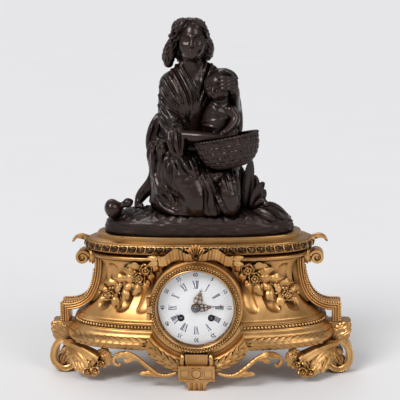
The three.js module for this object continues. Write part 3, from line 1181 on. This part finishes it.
function mother(grow = 0) {
  const soft = { grow, sides: 8 };
  const head = ball(figurePoint(-3.5, -8, 209.5), figureSize(16.5, 19.5, 23), soft);
  const chin = ball(figurePoint(-3.5, -13, 196.5), figureSize(13, 14, 13), soft);
  const crown = ball(figurePoint(-7.5, 0, 217), figureSize(24, 19.5, 19), soft);
  const nape = ball(figurePoint(-8, 8, 196.5), figureSize(21.5, 14, 25), soft);
  const nearLock = limb(
    [spot(-25, -1, 208.5, 8), spot(-30, 0, 198.5, 9.5), spot(-33.5, 1, 188.5, 9), spot(-34, 2, 179.5, 6.5)],
    soft);
  const farLock = limb(
    [spot(12, -1, 208.5, 7), spot(14.5, -1, 200.5, 8.5), spot(14.5, 0, 193.5, 8.5), spot(12, 1, 186.5, 6)],
    soft);
  const sleeve = limb(
    [spot(-30, -1, 153.5, 15), spot(-33, -5, 137.5, 14.5), spot(-33, -12, 117.5, 14.5),
      spot(-26, -22, 103.5, 13.5)],
    soft);
  const cuff = limb(
    [spot(-26, -24, 106.5, 12), spot(-23, -33, 96.5, 11.5), spot(-22, -38, 85.5, 10),
      spot(-20, -40, 73.5, 6)],
    { ...soft, flat: 0.8 });
  const forearm = limb(
    [spot(-14, -38, 95.5, 7), spot(4, -43, 94.5, 7), spot(22, -45, 93.5, 6), spot(44, -43, 98, 4.8)], soft);
  const farSleeve = limb(
    [spot(18, 5, 158.5, 13), spot(38, 8, 140.5, 12.5), spot(45, 4, 120.5, 10.5), spot(49, -2, 102.5, 7)],
    soft);
  const wrist = limb(
    [spot(46, -2, 122.5, 7), spot(47, -16, 132.5, 6.5), spot(48, -30, 142.5, 6), spot(47.5, -37, 150, 6)],
    soft);
  const hand = ball(figurePoint(46.5, -39, 154.5), figureSize(6.2, 6, 11), soft);
  const fingers = limb([spot(46, -44.5, 157, 9), spot(37, -48.6, 158, 9), spot(28.5, -46.8, 158.5, 8)],
    { ...soft, flat: 0.28 });
  const foot = limb(
    [spot(-46, 14, 32.5, 11), spot(-58, 16, 26.5, 10), spot(-68, 16, 18.5, 8.5), spot(-75, 14, 8, 6)], soft);
  const knot = ball(figurePoint(-41, -21, 77.5), figureSize(8.5, 8, 8.5), soft);
  return join(robe(grow), head, chin, crown, nape, nearLock, farLock, sleeve, cuff, forearm,
    farSleeve, wrist, hand, fingers, foot, knot);
}

function child(grow = 0) {
  const soft = { grow, sides: 8 };
  const body = limb(
    [spot(38, -17, 54.5, 14), spot(34, -19, 82.5, 17.5), spot(26, -20, 104.5, 20), spot(27, -21, 120.5, 17),
      spot(31, -22, 134.5, 10)],
    soft);
  const head = ball(figurePoint(30, -26, 155.5), figureSize(20, 18, 18.5), soft);
  const chin = ball(figurePoint(26, -34, 146.5), figureSize(11.5, 9.5, 9), soft);
  const arm = limb(
    [spot(42, -28, 124, 7.5), spot(48, -34, 114.5, 6.2), spot(43, -40, 105.5, 5.4), spot(36, -45, 99.5, 4.4)],
    soft);
  return join(body, head, chin, arm);
}

// Basket: a boat-shaped bowl that leans down towards the mother's hand
function basket() {
  const rimCentre = vector(...figurePoint(37, -38, 93));
  const lean = new THREE.Matrix4().makeRotationY(degrees(-10.5));
  const ring = (depth, share, inset) => Array.from({ length: 20 }, (_, step) => {
    const turn = 2 * Math.PI * step / 20;
    return vector(
      (BASKET_HALF_LENGTH * share - inset) * Math.cos(turn),
      (BASKET_HALF_DEPTH * share - inset) * Math.sin(turn),
      -depth).applyMatrix4(lean).add(rimCentre);
  });
  const bowl = [[1, 0.34], [0.86, 0.62], [0.5, 0.9], [0, 1]];
  const outside = bowl.map(([depth, share]) => ring(depth * BASKET_DEPTH, share, 0));
  const inside = bowl.toReversed().map(([depth, share]) =>
    ring(depth * (BASKET_DEPTH - BASKET_WALL), share, BASKET_WALL));
  return loft([...outside, ...inside]);
}

function terrace() {
  const levels = [[0, 0.985], [0.25, 1], [0.6, 0.97], [0.86, 0.87], [1, 0.6]];
  const ground = loft(levels.map(([rise, share]) => planAngles.map(angle => {
    const edge = planPoint(TERRACE_HALF_WIDTH, angle, CORNICE_TOP_Z + rise * TERRACE_HEIGHT);
    return edge.multiply(vector(share, share, 1));
  })));
  const edgeX = TERRACE_HALF_WIDTH / FIGURE_UNIT;
  const reeds = [
    limb([spot(64, 4, -10, 5), spot(66, 3, 30, 5), spot(66, 0, 60, 2)], { sides: 6, flat: 0.7 }),
    limb([spot(68, 0, -10, 5), spot(73, -2, 22, 5), spot(72, -2, 44, 2)], { sides: 6, flat: 0.7 }),
    limb([spot(70, -8, -10, 6), spot(78, -12, 12, 6), spot(82, -14, 32, 2)], { sides: 6, flat: 0.7 }),
    limb(
      [spot(edgeX - 44, -12, -9, 7), spot(edgeX - 24, -14, -2, 7), spot(edgeX - 8, -10, -9, 3)],
      { sides: 6, flat: 1.3 }),
  ];
  const gourd = limb([
    spot(5 - edgeX, -20, 3, 5), spot(9 - edgeX, -20, 3.4, 10.4), spot(14 - edgeX, -20, 4, 12),
    spot(21 - edgeX, -19.5, 6, 9), spot(26 - edgeX, -19, 8, 4), spot(30 - edgeX, -18.5, 10, 5.4),
    spot(34 - edgeX, -18, 11.5, 5.6), spot(37 - edgeX, -18, 12.6, 3),
  ], { sides: 8 });
  const blind = uprightRod(BOLT_RADIUS + SEAT, 0, 0, CORNICE_TOP_Z, TERRACE_HEIGHT);
  return cut(join(ground, ...reeds, gourd), mother(SEAT), child(SEAT), blind);
}

function groupBolt() {
  const under = CORNICE_TOP_Z - CASTING_WALL - SEAT;
  const nutHeight = 2 * BOLT_RADIUS;
  const top = CORNICE_TOP_Z + TERRACE_HEIGHT / 2 - SEAT;
  const rod = uprightRod(BOLT_RADIUS, 0, 0, (under - nutHeight + top) / 2, top - under + nutHeight);
  return join(rod, uprightRod(2 * BOLT_RADIUS, 0, 0, under - nutHeight / 2, nutHeight, 6));
}

// Case
place("plinth", plinth(), gilt());
place("dial_apron", apron(), gilt());
place("centre_foot", decoratedCentreFoot(), gilt());
place("cornice", cornice(), gilt());
place("gadroon_ring", gadroonRing(), gilt());
place("ribbon", ribbon(), gilt());
for (const [name, side] of sides) {
  place(`waist_${name}`, waist(side), gilt());
  place(`scroll_foot_${name}`, scrollFoot(side), gilt());
  place(`foot_leaf_${name}`, footLeaf(side), gilt());
  place(`console_${name}`, sideConsole(side), gilt());
  place(`garland_${name}`, garland(side), gilt());
  place(`apron_scroll_${name}`, apronScroll(side), gilt());
}

// Drum, dial and doors
place("drum", drum(), gilt(), onAxis);
place("front_bezel", bezel(), gilt(), onAxis);
place("dial_glass", dialGlass(), glass(), onAxis);
place("bezel_hinge_pin", hingePin(hingeX, hingeY), steel(), onAxis);
place("rear_ring", rearRing(), brass(), onAxis);
place("rear_door", rearDoor(), brass(), onAxis);
place("rear_hinge_pin", hingePin(doorHingeX, doorHingeY), steel(), onAxis);
place("dial", dial(), enamel(), onAxis);
place("dial_plate", dialPlate(), brass(), onAxis);

// Movement
function mount(name, solid, material, [x, z]) {
  place(name, solid, material, onAxis).position.set(x, 0, z);
}

place("front_plate", frontPlate(), brass(), onAxis);
place("back_plate", backPlate(), brass(), onAxis);
PILLAR_PLACES.forEach((at, index) => mount(`pillar_${index + 1}`, pillar(), brass(), at));
mount("going_barrel", barrel(facingGap(goingBarrelAt, intermediateAt, WHEEL_TEETH)), brass(), goingBarrelAt);
mount("strike_barrel", barrel(facingGap(strikeBarrelAt, pinWheelAt, WHEEL_TEETH)), brass(), strikeBarrelAt);
mount("going_winding_arbor", windingArbor(), steel(), goingBarrelAt);
mount("strike_winding_arbor", windingArbor(), steel(), strikeBarrelAt);
mount("intermediate_wheel", intermediateWheel(), brass(), intermediateAt);
mount("centre_wheel", centreWheel(), brass(), centre);
mount("third_wheel", thirdWheel(), brass(), thirdAt);
mount("escape_wheel", escapeWheel(), brass(), escapeAt);
mount("anchor", anchor(), steel(), anchorAt);
mount("pendulum", pendulum(), brass(), anchorAt);
place("suspension_cock", suspensionCock(), brass(), onAxis);
mount("cannon_pinion", cannonPinion(), steel(), centre);
mount("minute_wheel", minuteWheel(), brass(), minuteAt);
mount("hour_wheel", hourWheel(), brass(), centre);
mount("hour_hand", hourHand(), gilt(), centre);
mount("minute_hand", minuteHand(), gilt(), centre);
mount("hand_nut", handNut(), steel(), centre);
mount("pin_wheel", pinWheel(), brass(), pinWheelAt);
mount("fly", fly(), steel(), flyAt);
mount("bell", bell(), brass(), [0, -BELL_DROP]);
place("bell_stand", bellStand(), steel(), onAxis);
mount("hammer", hammer(), steel(), HAMMER_PLACE);

// Group
place("figure_terrace", terrace(), bronze());
place("mother_figure", mother(), bronze());
place("child_figure", cut(child(), mother(SEAT)), bronze());
place("basket", cut(basket(), mother(SEAT), child(SEAT)), bronze());
place("group_bolt", groupBolt(), steel());

export default clock;
